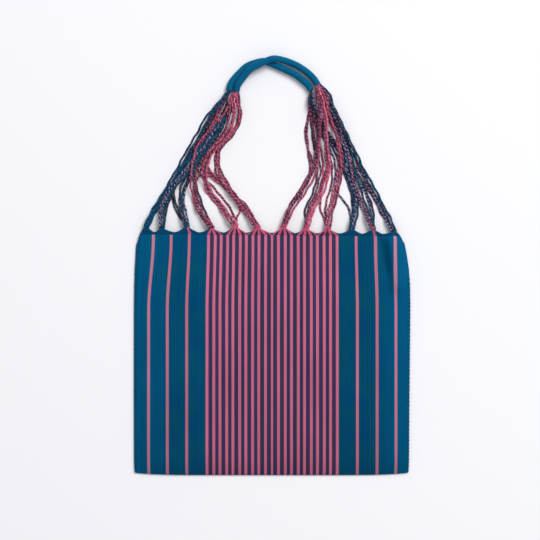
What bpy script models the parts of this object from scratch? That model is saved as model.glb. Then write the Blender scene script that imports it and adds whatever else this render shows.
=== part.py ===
"""Striped cotton bag with twisted cord straps and two wrapped handles, lying flat on its back.

One length of cloth is folded at the bottom and sewn up both sides into a pocket. Its warp ends are
gathered in twelve places along the mouth, front and back, and run as cords to a front and a back
handle. Blender units are metres, +Z is up, and +Y runs from the bottom fold to the handles. The
origin is under the middle of the whole bag. Sizes below are in millimetres.
"""

import math
import random

import bmesh
import bpy
from mathutils import Vector

MM = 0.001
CLEARANCE = 0.3  # air between two pieces that touch

# Body cloth
CLOTH_THICKNESS = 1.4
POCKET_AIR = 6.4  # between the two layers, over most of the pocket
MOUTH_AIR = 5.4
SEWN_AIR = 0.9  # along the sewn sides and the bottom fold
SIDE_ROUNDING = 30.0  # how far in from a side the upper layer reaches its full height
FOLD_ROUNDING = 26.0
EDGE_FULLNESS = 0.8  # below 1 the cloth rises faster from its edges
MOUTH_REACH = 50.0  # how far down from the mouth the air grows from one value to the other
FOLD_Y = -302.8
CORNER_LIFT = 3.2  # the bottom fold rises this much at its two corners
CORNER_SHARPNESS = 7
MOUTH_VALLEY_Y = 47.0  # lowest point of the scallops between two gathers, in the middle
MOUTH_SLOPE = -0.008  # their fall from left to right
SCALLOP_FULLNESS = 1.5  # above 1 a scallop is rounder in the middle
GATHER_PUCKER = 1.0  # height of the ridge that each gather raises in the upper layer
PUCKER_WIDTH = 5.0
PUCKER_LENGTH = 24.0

# The sides, read across the bag: (y, left x, right x)
OUTLINE = (
    (-310, -197.6, 196.6),
    (-285, -198.6, 197.3),
    (-180, -198.8, 198.1),
    (-60, -198.6, 199.3),
    (-28, -198.2, 198.8),
    (-6, -197.6, 197.4),
    (15, -196.4, 194.2),
    (25, -195.8, 191.8),
    (34, -195.2, 187.4),
)
LEFT_CORNER_Y = 37.0
RIGHT_CORNER_Y = 33.0

# Soft folds of the upper layer: (x0, y0, x1, y1, half width, height)
SOFT_FOLDS = (
    (181, 30, 189, -50, 8, 2.4),
    (163, 44, 160, -40, 9, -1.1),
    (-186, 34, -190, -30, 7, 1.2),
    (-150, 20, -156, -110, 14, 0.9),
    (-112, -30, -98, -268, 24, 1.0),
    (-38, -110, -30, -285, 26, -0.8),
    (32, -50, 46, -235, 30, 1.0),
    (112, -30, 104, -270, 26, -0.7),
    (152, -140, 160, -285, 18, 1.2),
    (-172, -170, -166, -290, 14, 0.9),
)

# Rows of the pocket from mouth to fold, as shares of its depth, and columns between two gathers
DEPTH_ROWS = (0, 0.02, 0.05, 0.1, 0.18, 0.28, 0.4, 0.54, 0.68, 0.81, 0.91, 0.96, 0.985, 1)
WIDE_COLUMNS = 4
NARROW_COLUMNS = 3
NARROW_INTERVAL = 29.0

# Gathers along the mouth, left to right: (x, y) of the cusp in the cloth
GATHERS = (
    (-182.0, 57.0),
    (-159.5, 54.5),
    (-123.5, 57.0),
    (-87.5, 54.5),
    (-53.0, 58.0),
    (-20.5, 55.0),
    (17.0, 56.5),
    (49.5, 54.0),
    (81.0, 53.5),
    (116.0, 53.5),
    (146.5, 53.0),
    (177.0, 49.5),
)

# Strap cords
CORD_WIDTH = 2.6  # cords are pressed flat where they lie over each other
CORD_HEIGHT = 1.9
CORD_PITCH = 3.3  # from one cord to the next where they lie side by side
LAID_CLEARANCE = 0.45  # between a cord and those under it
CORD_STEP = 13.5  # distance between two points of a laid cord
FINE_STEP = 1.5
STEEPEST = 0.3  # rise over run of a cord that climbs over another
WEB_LENGTH = 9.0
WEB_THICKNESS = 2.4
WEB_FOOT = 4.2
WEB_MARGIN = 0.5
WEB_CHAMFER = 0.4
ROOT_DEPTH = 3.0  # how far a cord's end is sunk into its web or head
HEAD_ROWS = (0, 2, 1, 3)  # rows that four neighbouring cords take where they enter a handle
HEAD_PITCH = 3.1
ROW_PITCH = 2.3
HEAD_HEIGHT = 9.4
HEAD_WALL = 0.5
HEAD_CHAMFER = 0.6
HEAD_SHOULDER = 4.0
FIRST_ROW_Z = 1.25
SWAY_SEED = 12
WELD = 1e-6
CURVE_STEPS = 12  # straight pieces that a smooth curve is read from, between two given points

# Where the bunches of cords pass, as x at these heights: (gather, cords, then one x a height).
# Rows run left to right, as the cords lie in the head.
STATION_Y = (83, 110, 139, 168, 194, 219)
# At each height: how far a bunch is spread out, and how far a cord wanders from its place in it
SPREAD = ((1.0, 0.1), (1.0, 1.1), (0.95, 0.8), (0.7, 0.4), (0.55, 0.3), (0.45, 0.15))
FRONT_LEFT = (
    (1, 3, -169, -151, -128, -105, -85, -71.5),
    (2, 3, -159, -145, -122, -100, -81, -68),
    (3, 3, -130, -130, -114, -94, -77, -64.5),
    (4, 2, -108, -113, -106, -89, -69, -62.5),
    (4, 1, -110, -117, -117, -110, -94, -70),
    (5, 3, -72, -92, -98, -85, -62.5, -55),
    (6, 3, -41, -61, -78, -77.5, -55.5, -46.5),
)
BACK_LEFT = (
    (1, 1, -171, -154, -139, -123.5, -108.5, -93.5),
    (1, 1, -168, -151, -135, -118, -103, -89),
    (2, 2, -154, -146, -131, -116, -101.5, -87),
    (3, 2, -139, -143.5, -128, -113, -99, -84.5),
    (4, 2, -101, -110, -115, -110, -96.5, -82.5),
    (5, 1, -60, -83, -108, -106, -94.5, -81),
    (6, 2, -36, -65, -96, -103, -92, -79.5),
    (5, 1, -47, -63, -90, -99, -89.5, -77.5),
)
FRONT_RIGHT = (
    (7, 3, 28, 47, 61, 66.5, 68, 70),
    (8, 3, 59, 73, 81, 79, 78, 77),
    (9, 3, 86, 94, 99, 98.5, 92, 83),
    (10, 3, 122, 119, 109, 106, 98, 88.5),
    (11, 3, 135, 125, 117, 112, 102.5, 91.5),
    (12, 3, 161, 147, 131, 117.5, 106, 94),
)
BACK_RIGHT = (
    (7, 2, 25, 43, 57, 53, 49.5, 54),
    (8, 2, 51, 63, 68, 63, 59, 57),
    (9, 1, 71, 70, 75, 71, 65, 59.3),
    (9, 1, 77, 84, 87, 82, 70, 61),
    (10, 1, 112, 92, 93, 85, 71, 62.3),
    (10, 1, 117, 113, 102, 90, 74.5, 64),
    (11, 2, 145, 134, 117, 96, 77, 65.5),
    (12, 2, 157, 143, 123, 101, 81, 67.5),
)

# Handles: radius, and the route of each centre line as (x, y, height above its rest)
HANDLE_RADIUS = 5.0
HANDLE_SIDES = 8
HANDLE_STEP = 5.5
CROSSING_LIFT = 10.2
FRONT_HANDLE = (
    (-51.5, 253.7, 0.02),
    (-49.6, 261.7, 0.35),
    (-40.6, 274.0, 0.62),
    (-30.7, 284.9, 0.85),
    (-14.3, 293.3, 1.0),
    (-5.1, 297.4, 1.0),
    (4.4, 299.6, 0.8),
    (16.9, 297.8, 0.25),
    (30.0, 293.2, 0.0),
    (40.7, 287.8, 0.0),
    (52.9, 278.9, 0.0),
    (61.4, 270.2, 0.0),
    (66.5, 262.2, 0.0),
)
BACK_HANDLE = (
    (-62.5, 253.7, 0.0),
    (-58.2, 266.4, 0.0),
    (-46.7, 279.9, 0.0),
    (-34.0, 290.7, 0.0),
    (-15.0, 296.5, 0.0),
    (-5.8, 294.8, 0.0),
    (4.4, 290.8, 0.0),
    (14.0, 286.6, 0.0),
    (24.3, 282.1, 0.0),
    (34.3, 276.7, 0.0),
    (45.2, 268.4, 0.0),
    (52.9, 261.2, 0.0),
    (56.3, 254.9, 0.0),
)

# Straps: (name, bunches, handle route, its end, middle of the cords where they enter the head)
STRAPS = (
    ("back_left_strap", BACK_LEFT, BACK_HANDLE, 0, (-72.3, 238.0)),
    ("back_right_strap", BACK_RIGHT, BACK_HANDLE, -1, (56.6, 239.2)),
    ("front_left_strap", FRONT_LEFT, FRONT_HANDLE, 0, (-54.7, 239.0)),
    ("front_right_strap", FRONT_RIGHT, FRONT_HANDLE, -1, (74.6, 245.0)),
)

BLUE_COTTON = (0.004, 0.075, 0.16)
PINK_COTTON = (0.50, 0.11, 0.19)
DARK_TEAL = (0.003, 0.09, 0.17)
COTTON_ROUGHNESS = 0.85

X_AXIS = Vector((1, 0, 0))
Z_AXIS = Vector((0, 0, 1))


def remove_startup_objects():
    for obj in list(bpy.data.objects):
        bpy.data.objects.remove(obj)


def new_collection(name, parent):
    collection = bpy.data.collections.new(name)
    parent.children.link(collection)
    return collection


def cotton(name, colour):
    material = bpy.data.materials.new(name)
    material.use_nodes = True
    shader = material.node_tree.nodes["Principled BSDF"]
    shader.inputs["Base Color"].default_value = (*colour, 1)
    shader.inputs["Roughness"].default_value = COTTON_ROUGHNESS
    shader.inputs["Metallic"].default_value = 0
    return material


def smoothstep(share):
    share = min(max(share, 0.0), 1.0)
    return share * share * (3 - 2 * share)


def read_table(rows, at, column):
    """The value of one column at a place between two rows, whose first column rises."""
    if at <= rows[0][0]:
        return rows[0][column]
    for low, high in zip(rows, rows[1:]):
        if at <= high[0]:
            share = (at - low[0]) / (high[0] - low[0])
            return low[column] + (high[column] - low[column]) * share
    return rows[-1][column]


def smooth_curve(points, spacing):
    """Points about one spacing apart on a Catmull-Rom curve through the given points."""
    points = [Vector(point) for point in points]
    ends = [2 * points[0] - points[1], *points, 2 * points[-1] - points[-2]]
    dense = []
    for before, start, stop, after in zip(ends, ends[1:], ends[2:], ends[3:]):
        for step in range(CURVE_STEPS):
            t = step / CURVE_STEPS
            dense.append(
                0.5
                * (
                    2 * start
                    + (stop - before) * t
                    + (2 * before - 5 * start + 4 * stop - after) * t**2
                    + (3 * start - before - 3 * stop + after) * t**3
                )
            )
    dense.append(points[-1])
    return even_points(dense, spacing)


def even_points(line, spacing):
    """A line's ends and the points between them that cut it into equal lengths near the spacing."""
    lengths = [0.0]
    for a, b in zip(line, line[1:]):
        lengths.append(lengths[-1] + (b - a).length)
    count = max(2, round(lengths[-1] / spacing))
    result = []
    piece = 0
    for index in range(count + 1):
        target = lengths[-1] * index / count
        while piece < len(line) - 2 and lengths[piece + 1] < target:
            piece += 1
        run = lengths[piece + 1] - lengths[piece]
        share = (target - lengths[piece]) / run if run else 0
        result.append(line[piece].lerp(line[piece + 1], min(max(share, 0), 1)))
    return result


def object_of(name, mesh, collection, material):
    obj = bpy.data.objects.new(name, mesh)
    obj.data.materials.append(material)
    collection.objects.link(obj)
    return obj


def mesh_of(name, points, faces):
    """A mesh in metres from points in millimetres, with its faces turned outwards."""
    bm = bmesh.new()
    verts = [bm.verts.new(Vector(point) * MM) for point in points]
    for face in faces:
        bm.faces.new([verts[index] for index in face])
    bmesh.ops.recalc_face_normals(bm, faces=bm.faces)
    mesh = bpy.data.meshes.new(name)
    bm.to_mesh(mesh)
    bm.free()
    return mesh


def add_helper(name, data, collection):
    """A piece that is joined to another and isn't an object of its own in the finished part."""
    helper = bpy.data.objects.new(name, data)
    helper.display_type = "WIRE"
    helper.hide_render = True
    collection.objects.link(helper)
    return helper


# ---------------------------------------------------------------- body cloth


def mouth_line():
    """The columns of the pocket where they meet its mouth: cusps at the gathers, scallops between."""
    left = (read_table(OUTLINE, LEFT_CORNER_Y, 1), LEFT_CORNER_Y)
    right = (read_table(OUTLINE, RIGHT_CORNER_Y, 2), RIGHT_CORNER_Y)
    line = [left, middle_of(left, GATHERS[0])]
    for (x0, y0), (x1, y1) in zip(GATHERS, GATHERS[1:]):
        columns = NARROW_COLUMNS if x1 - x0 < NARROW_INTERVAL else WIDE_COLUMNS
        valley = MOUTH_VALLEY_Y + MOUTH_SLOPE * x0
        for column in range(columns):
            across = column / columns
            top = y0 + (y1 - y0) * across
            depth = 1 - abs(2 * across - 1) ** SCALLOP_FULLNESS
            line.append((x0 + (x1 - x0) * across, top + (valley - top) * depth))
    return [*line, GATHERS[-1], middle_of(GATHERS[-1], right), right]


def middle_of(a, b):
    return ((a[0] + b[0]) / 2, (a[1] + b[1]) / 2)


def distance_to_line(x, y, x0, y0, x1, y1):
    """Distance to a straight line that has two ends."""
    run = Vector((x1 - x0, y1 - y0))
    along = Vector((x - x0, y - y0)).dot(run) / run.length_squared
    near = min(max(along, 0.0), 1.0)
    return math.hypot(x - x0 - run.x * near, y - y0 - run.y * near)


def rounded_edge(share):
    """Share of the full height at a share of the way in from an edge."""
    return math.sin(math.pi / 2 * min(max(share, 0.0), 1.0)) ** EDGE_FULLNESS


def air_height(x, y, side_distance, fold_distance, mouth_distance):
    """Height of the pocket's air at one place."""
    full = MOUTH_AIR + (POCKET_AIR - MOUTH_AIR) * smoothstep(mouth_distance / MOUTH_REACH)
    for x0, y0, x1, y1, half_width, height in SOFT_FOLDS:
        full += height * math.exp(-((distance_to_line(x, y, x0, y0, x1, y1) / half_width) ** 2))
    for gather_x, _ in GATHERS:
        across = (x - gather_x) / PUCKER_WIDTH
        full += GATHER_PUCKER * math.exp(-(across**2) - mouth_distance / PUCKER_LENGTH)
    side = rounded_edge(side_distance / SIDE_ROUNDING)
    fold = rounded_edge(fold_distance / FOLD_ROUNDING)
    return SEWN_AIR + (full - SEWN_AIR) * side * fold


def pocket_surface():
    """The inner face of the pocket: a lower sheet, an upper sheet, two sides and the bottom fold."""
    mouth = mouth_line()
    left_x, right_x = mouth[0][0], mouth[-1][0]
    lower, upper = [], []
    for share in DEPTH_ROWS:
        lower_row, upper_row = [], []
        for mouth_x, mouth_y in mouth:
            across = (mouth_x - left_x) / (right_x - left_x)
            fold_y = FOLD_Y + CORNER_LIFT * abs(2 * across - 1) ** CORNER_SHARPNESS
            y = mouth_y + (fold_y - mouth_y) * share
            left, right = read_table(OUTLINE, y, 1), read_table(OUTLINE, y, 2)
            x = left + (right - left) * across
            air = air_height(x, y, min(x - left, right - x), y - fold_y, mouth_y - y)
            lower_row.append((x, y, CLOTH_THICKNESS))
            upper_row.append((x, y, CLOTH_THICKNESS + air))
        lower.append(lower_row)
        upper.append(upper_row)
    columns, rows = len(mouth), len(DEPTH_ROWS)
    points = [point for row in lower + upper for point in row]

    def at(layer, row, column):
        return (layer * rows + row) * columns + column

    faces = []
    for layer in (0, 1):
        for row in range(rows - 1):
            for column in range(columns - 1):
                quad = [at(layer, row, column), at(layer, row, column + 1)]
                quad += [at(layer, row + 1, column + 1), at(layer, row + 1, column)]
                faces.append(quad[::-1] if layer else quad)
    for column, flip in ((0, True), (columns - 1, False)):
        for row in range(rows - 1):
            quad = [at(0, row, column), at(1, row, column)]
            quad += [at(1, row + 1, column), at(0, row + 1, column)]
            faces.append(quad[::-1] if flip else quad)
    for column in range(columns - 1):
        quad = [at(0, rows - 1, column), at(0, rows - 1, column + 1)]
        faces.append(quad + [at(1, rows - 1, column + 1), at(1, rows - 1, column)])
    return points, faces


def build_body(collection):
    """The body cloth: the pocket's inner face, thickened outwards."""
    points, faces = pocket_surface()
    mesh = mesh_of("bag_body", points, faces)
    body = object_of("bag_body", mesh, collection, cotton("body", BLUE_COTTON))
    # An open sheet has no outside of its own: its lower layer has to face down.
    if body.data.polygons[0].normal.z > 0:
        body.data.flip_normals()
    body.data.shade_smooth()
    cloth = body.modifiers.new("cloth_thickness", "SOLIDIFY")
    cloth.thickness = CLOTH_THICKNESS * MM
    cloth.offset = 1
    cloth.use_even_offset = False
    cloth.use_rim = True
    return body


# ---------------------------------------------------------------- tubes and lofts


def line_curve(name, line, dimensions):
    """A curve of straight pieces through points in millimetres."""
    curve = bpy.data.curves.new(name, "CURVE")
    curve.dimensions = dimensions
    spline = curve.splines.new("POLY")
    spline.points.add(len(line) - 1)
    for point, place in zip(spline.points, line):
        point.co = (*(place * MM), 1)
    return curve


def section_of(name, outline, collection):
    """A closed outline that cords are swept with."""
    curve = line_curve(name, [Vector((x, y, 0)) for x, y in outline], "2D")
    curve.splines[0].use_cyclic_u = True
    curve.fill_mode = "NONE"
    return add_helper(name, curve, collection)


def swept(name, line, section):
    """A capped solid swept along a line."""
    curve = line_curve(name, line, "3D")
    curve.twist_mode = "Z_UP"
    curve.bevel_mode = "OBJECT"
    curve.bevel_object = section
    curve.use_fill_caps = True
    return closed_mesh(bpy.data.objects.new(name, curve))


def tube_curve(name, line, radius, sides):
    """A curve object for a tube along a line, with a flat side down."""
    curve = line_curve(name, line, "3D")
    curve.twist_mode = "Z_UP"
    curve.bevel_mode = "ROUND"
    curve.bevel_depth = radius * MM
    curve.bevel_resolution = (sides - 4) // 2
    curve.use_fill_caps = True
    for point in curve.splines[0].points:
        point.tilt = math.pi / sides
    return bpy.data.objects.new(name, curve)


def closed_mesh(curve_object):
    """The mesh of a capped curve, with its caps welded on. The curve object is removed."""
    bpy.context.scene.collection.objects.link(curve_object)
    graph = bpy.context.evaluated_depsgraph_get()
    mesh = bpy.data.meshes.new_from_object(curve_object.evaluated_get(graph))
    bpy.data.objects.remove(curve_object)
    mesh.materials.clear()
    bm = bmesh.new()
    bm.from_mesh(mesh)
    bmesh.ops.remove_doubles(bm, verts=bm.verts, dist=WELD)
    bmesh.ops.recalc_face_normals(bm, faces=bm.faces)
    bm.to_mesh(mesh)
    bm.free()
    return mesh


def loft(name, rings):
    """A closed solid through rings that have the same number of points."""
    count = len(rings[0])
    points = [point for ring in rings for point in ring]
    faces = [list(range(count)), list(range(len(points) - count, len(points)))]
    for ring in range(len(rings) - 1):
        for corner in range(count):
            following = (corner + 1) % count
            low, high = ring * count, (ring + 1) * count
            faces.append([low + corner, low + following, high + following, high + corner])
    return mesh_of(name, points, faces)


def ring_at(centre, across, up, outline):
    """A ring of points round a centre, from an outline of (sideways, upwards) pairs."""
    return [centre + across * side + up * height for side, height in outline]


def rectangle(width, height):
    """Four corners of a rectangle, anticlockwise."""
    w, h = width / 2, height / 2
    return [(w, -h), (w, h), (-w, h), (-w, -h)]


def chamfered_box(half_width, half_height, chamfer):
    """Eight corners of a rectangle with cut corners, anticlockwise."""
    w, h, c = half_width, half_height, chamfer
    right = [(w, c - h), (w, h - c), (w - c, h), (c - w, h)]
    return right + [(-x, -y) for x, y in right]


# ---------------------------------------------------------------- handles


def handle_line(route):
    """The centre line of a handle, whose flat underside is on the floor where it isn't lifted."""
    rest = HANDLE_RADIUS * math.cos(math.pi / HANDLE_SIDES)
    line = smooth_curve([(x, y, rest + CROSSING_LIFT * lift) for x, y, lift in route], HANDLE_STEP)
    return [Vector((point.x, point.y, max(point.z, rest))) for point in line]


def build_handle(name, route, collection):
    """One wrapped handle: a tube laid along its route."""
    handle = tube_curve(name, handle_line(route), HANDLE_RADIUS, HANDLE_SIDES)
    handle.data.materials.append(cotton(name, DARK_TEAL))
    collection.objects.link(handle)
    return handle


# ---------------------------------------------------------------- straps


class LaidCords:
    """The cords that lie there already, as close points by cell, so that the next goes over them."""

    REACH = CORD_WIDTH + CLEARANCE
    RISE = CORD_HEIGHT + LAID_CLEARANCE

    def __init__(self):
        self.cells = {}

    def add(self, point):
        cell = (int(point.x // self.REACH), int(point.y // self.REACH))
        self.cells.setdefault(cell, []).append(point)

    def support(self, place):
        """Lowest height for the middle of a cord here: on the floor, or clear over what lies here."""
        height = CORD_HEIGHT / 2
        column, row = int(place.x // self.REACH), int(place.y // self.REACH)
        for cell in ((column + i, row + j) for i in (-1, 0, 1) for j in (-1, 0, 1)):
            for point in self.cells.get(cell, ()):
                if math.hypot(point.x - place.x, point.y - place.y) < self.REACH:
                    height = max(height, point.z + self.RISE)
        return height


def lay_cord(plan, start_z, end_z, laid):
    """Lifts the plan of a cord over what lies under it, no steeper than a cord can climb."""
    fine = []
    for piece, (a, b) in enumerate(zip(plan, plan[1:])):
        count = max(2, round((b - a).length / FINE_STEP))
        fine += [(piece, step / count, a.lerp(b, step / count)) for step in range(count)]
    fine.append((len(plan) - 2, 1.0, plan[-1]))
    needs = [laid.support(place) for _, _, place in fine]
    needs[0], needs[-1] = start_z, end_z
    for order, back in ((range(1, len(fine)), -1), (range(len(fine) - 2, -1, -1), 1)):
        for index in order:
            run = (fine[index][2] - fine[index + back][2]).length
            needs[index] = max(needs[index], needs[index + back] - STEEPEST * run)
    heights = [0.0] * len(plan)
    for (piece, _, _), need in zip(fine, needs):
        heights[piece] = max(heights[piece], need)
        heights[piece + 1] = max(heights[piece + 1], need)
    heights[0], heights[-1] = start_z, end_z
    for piece, share, place in fine:
        z = heights[piece] + (heights[piece + 1] - heights[piece]) * share
        laid.add(Vector((place.x, place.y, z)))
    return [Vector((place.x, place.y, z)) for place, z in zip(plan, heights)]


def sideways(direction):
    """Unit vector to the right of a direction in plan."""
    return Vector((direction.y, -direction.x, 0)).normalized()


def plan_bunches(bunches):
    """For each cord of a strap: its gather, place in its web, and the stations that it passes."""
    totals = {}
    for gather, count, *_ in bunches:
        totals[gather] = totals.get(gather, 0) + count
    begun = dict.fromkeys(totals, 0)
    cords = []
    for gather, count, *stations in bunches:
        for cord in range(count):
            root = begun[gather] - (totals[gather] - 1) / 2
            spread = cord - (count - 1) / 2
            begun[gather] += 1
            cords.append((gather, root, spread, stations))
    return totals, cords


class Web:
    """The short web that joins a gather's cords above its cusp, leaning towards where they go."""

    def __init__(self, gather, bunches, cords, front):
        x, y = GATHERS[gather - 1]
        starts = [row[2] for row in bunches if row[0] == gather]
        self.foot = Vector((x, y + CLEARANCE, 0))
        first = Vector((sum(starts) / len(starts), STATION_Y[0], 0))
        self.lean = (first - self.foot).normalized()
        self.top = self.foot + self.lean * WEB_LENGTH
        self.across = sideways(self.lean)
        self.half_width = cords * CORD_PITCH / 2 + WEB_MARGIN
        self.middle_z = WEB_THICKNESS / 2
        if front:
            side = min(x - OUTLINE[-1][1], OUTLINE[-1][2] - x)
            self.middle_z = 1.5 * CLOTH_THICKNESS + air_height(x, y, side, y - FOLD_Y, 0)

    def build(self, name, collection):
        half = WEB_THICKNESS / 2
        lift = Z_AXIS * self.middle_z
        foot = chamfered_box(WEB_FOOT / 2, half, WEB_CHAMFER)
        top = chamfered_box(self.half_width, half, WEB_CHAMFER)
        rings = [
            ring_at(self.foot + lift, X_AXIS, Z_AXIS, foot),
            ring_at(self.top + lift, self.across, Z_AXIS, top),
        ]
        add_helper(name, loft(name, rings), collection)


class Head:
    """The solid in which the cords of a strap are pressed together and enter the handle."""

    def __init__(self, cords, route, end, neck):
        line = handle_line(route)
        tip, inner = (line[0], line[1]) if end == 0 else (line[-1], line[-2])
        self.into_handle = (inner - tip).normalized()
        self.tip = tip - self.into_handle * CLEARANCE
        self.neck = Vector((*neck, 0))
        self.axis = (Vector((tip.x, tip.y, 0)) - self.neck).normalized()
        self.across = sideways(self.axis)
        self.columns = math.ceil(cords / len(HEAD_ROWS))

    def row(self, index):
        return HEAD_ROWS[index % len(HEAD_ROWS)]

    def slot(self, index):
        """Where a cord enters, in plan: neighbours lie over each other in one column."""
        column = index // len(HEAD_ROWS) - (self.columns - 1) / 2
        return self.neck + self.across * (column * HEAD_PITCH)

    def build(self, name, collection):
        half_width = self.columns * HEAD_PITCH / 2 + HEAD_WALL
        mouth = chamfered_box(half_width, HEAD_HEIGHT / 2, HEAD_CHAMFER)
        turns = [math.pi * (2 * corner - 1) / HANDLE_SIDES for corner in range(HANDLE_SIDES)]
        end = [(math.cos(turn) * HANDLE_RADIUS, math.sin(turn) * HANDLE_RADIUS) for turn in turns]
        end_across = sideways(self.into_handle)
        centre = self.neck + Z_AXIS * (HEAD_HEIGHT / 2)
        rings = [
            ring_at(centre, self.across, Z_AXIS, mouth),
            ring_at(centre + self.axis * HEAD_SHOULDER, self.across, Z_AXIS, mouth),
            ring_at(self.tip, end_across, end_across.cross(self.into_handle), end),
        ]
        return object_of(name, loft(name, rings), collection, cotton(name, PINK_COTTON))


def cord_plan(root, spread, stations, web, slot, sway):
    """The plan of one cord, from inside its web, past each station, to its slot in the head."""
    start = web.top + web.across * (root * CORD_PITCH)
    guide = [web.top, *[Vector((x, y, 0)) for x, y in zip(stations, STATION_Y)], slot]
    points = [start - web.lean * ROOT_DEPTH, start + web.lean]
    for index, (spread_here, wander) in enumerate(SPREAD, 1):
        beside = sideways(guide[index + 1] - guide[index - 1])
        offset = spread * CORD_PITCH * spread_here + sway.uniform(-wander, wander)
        points.append(guide[index] + beside * offset)
    return smooth_curve([*points, slot], CORD_STEP)


def build_strap(name, bunches, route, end, neck, laid, section, collection, helpers, sway):
    """One strap: webs at the gathers, cords, and the head in which they enter the handle."""
    totals, cords = plan_bunches(bunches)
    front = name.startswith("front")
    pieces = new_collection(name + "_pieces", helpers)
    webs = {gather: Web(gather, bunches, count, front) for gather, count in totals.items()}
    for gather, web in webs.items():
        web.build(f"{name}_web_{gather}", pieces)

    head = Head(len(cords), route, end, neck)
    for index in sorted(range(len(cords)), key=lambda index: (head.row(index), index)):
        gather, root, spread, stations = cords[index]
        web = webs[gather]
        plan = cord_plan(root, spread, stations, web, head.slot(index), sway)
        path = lay_cord(plan, web.middle_z, FIRST_ROW_Z + head.row(index) * ROW_PITCH, laid)
        path.append(path[-1] + head.axis * ROOT_DEPTH)
        cord_name = f"{name}_cord_{index + 1}"
        add_helper(cord_name, swept(cord_name, path, section), pieces)

    strap = head.build(name, collection)
    union = strap.modifiers.new("cords_and_webs", "BOOLEAN")
    union.operation = "UNION"
    union.operand_type = "COLLECTION"
    union.collection = pieces
    union.solver = "EXACT"
    return strap


def main():
    remove_startup_objects()
    bag = new_collection("striped_cotton_bag", bpy.context.scene.collection)
    helpers = new_collection("joined_pieces", bpy.context.scene.collection)
    helpers.hide_render = True
    build_body(bag)
    build_handle("back_handle", BACK_HANDLE, bag)
    build_handle("front_handle", FRONT_HANDLE, bag)
    section = section_of("cord_section", rectangle(CORD_WIDTH, CORD_HEIGHT), helpers)
    laid = LaidCords()
    sway = random.Random(SWAY_SEED)
    for strap in STRAPS:
        build_strap(*strap, laid, section, bag, helpers, sway)


main()
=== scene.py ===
import math
import random

import bpy
import numpy as np
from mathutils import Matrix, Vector


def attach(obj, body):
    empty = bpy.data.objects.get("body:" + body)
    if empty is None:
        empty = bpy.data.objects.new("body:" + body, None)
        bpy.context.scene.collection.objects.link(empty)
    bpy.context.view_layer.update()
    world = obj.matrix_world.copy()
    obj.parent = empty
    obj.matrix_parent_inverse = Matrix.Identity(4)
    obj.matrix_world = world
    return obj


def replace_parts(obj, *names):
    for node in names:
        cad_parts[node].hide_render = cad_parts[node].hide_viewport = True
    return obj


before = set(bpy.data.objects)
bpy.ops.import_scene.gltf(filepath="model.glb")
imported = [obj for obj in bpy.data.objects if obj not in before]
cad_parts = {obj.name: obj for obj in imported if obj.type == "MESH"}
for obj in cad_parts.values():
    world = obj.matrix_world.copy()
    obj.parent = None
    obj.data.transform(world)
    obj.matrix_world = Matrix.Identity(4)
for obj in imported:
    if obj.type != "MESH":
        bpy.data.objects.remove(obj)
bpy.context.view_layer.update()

# Looks of a striped cotton bag with twisted cord straps and two wrapped handles, lying on its back.
# Lengths are in millimetres, and meshes are made in metres.

MM = 0.001
CLEARANCE = 0.3

# ---- the part's tables, and a few values of the looks that go with them

CLOTH_THICKNESS = 1.4
POCKET_AIR = 6.4
MOUTH_AIR = 5.4
SEWN_AIR = 0.9
SIDE_ROUNDING = 30.0
FOLD_ROUNDING = 26.0
EDGE_FULLNESS = 0.8
MOUTH_REACH = 50.0
FOLD_Y = -302.8
CORNER_LIFT = 3.2
CORNER_SHARPNESS = 7
MOUTH_VALLEY_Y = 47.0
MOUTH_SLOPE = -0.008
SCALLOP_FULLNESS = 1.5
END_FULLNESS = 2.0  # of the mouth's line from the last gather round to the side
GATHER_PUCKER = 1.0
PUCKER_WIDTH = 5.0
PUCKER_LENGTH = 24.0

# The pocket's sides: (y, left x, right x). By the mouth the right one is up to 3 mm fuller than the part's
OUTLINE = (
    (-310, -197.6, 196.6),
    (-285, -198.6, 197.3),
    (-180, -198.8, 198.1),
    (-60, -198.6, 199.3),
    (-28, -198.2, 198.8),
    (-6, -197.6, 197.4),
    (15, -196.4, 194.2),
    (25, -195.8, 192.3),
    (34, -195.2, 190.2),
)
LEFT_CORNER_Y = 31.0  # 6 mm lower than the part's
RIGHT_CORNER_Y = 33.0

# Soft folds of the upper layer: (x0, y0, x1, y1, half width, height)
SOFT_FOLDS = (
    (181, 30, 189, -50, 8, 2.4),
    (163, 44, 160, -40, 9, -1.1),
    (-186, 34, -190, -30, 7, 1.2),
    (-150, 20, -156, -110, 14, 0.9),
    (-112, -30, -98, -268, 24, 1.0),
    (-38, -110, -30, -285, 26, -0.8),
    (32, -50, 46, -235, 30, 1.0),
    (112, -30, 104, -270, 26, -0.7),
    (152, -140, 160, -285, 18, 1.2),
    (-172, -170, -166, -290, 14, 0.9),
)

# Sharper folds that only the soft cloth has, by its right corner, in the same form
CORNER_FOLDS = (
    (171, 40, 180, -30, 7, 5.8),
    (183, 34, 190, -30, 7, 3.2),
    (156, 42, 167, -10, 7, -4.2),
)
FOLD_SIDE_FADE = 7.0
FOLD_MOUTH_FADE = 12.0

# Where the cords leave the mouth. Gathers are numbered from 1, from left to right
GATHERS = (
    (-182.0, 57.0),
    (-159.5, 54.5),
    (-123.5, 57.0),
    (-87.5, 54.5),
    (-53.0, 58.0),
    (-20.5, 55.0),
    (17.0, 56.5),
    (49.5, 54.0),
    (81.0, 53.5),
    (116.0, 53.5),
    (146.5, 53.0),
    (177.0, 49.5),
)
MIDDLE_GATHERS = (6, 7)
PINK_GATHERS = range(4, 10)
TURNED_UNDER = (1, 2, 10, 12)  # gathers where the pink threads of the stripe are turned under

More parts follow.
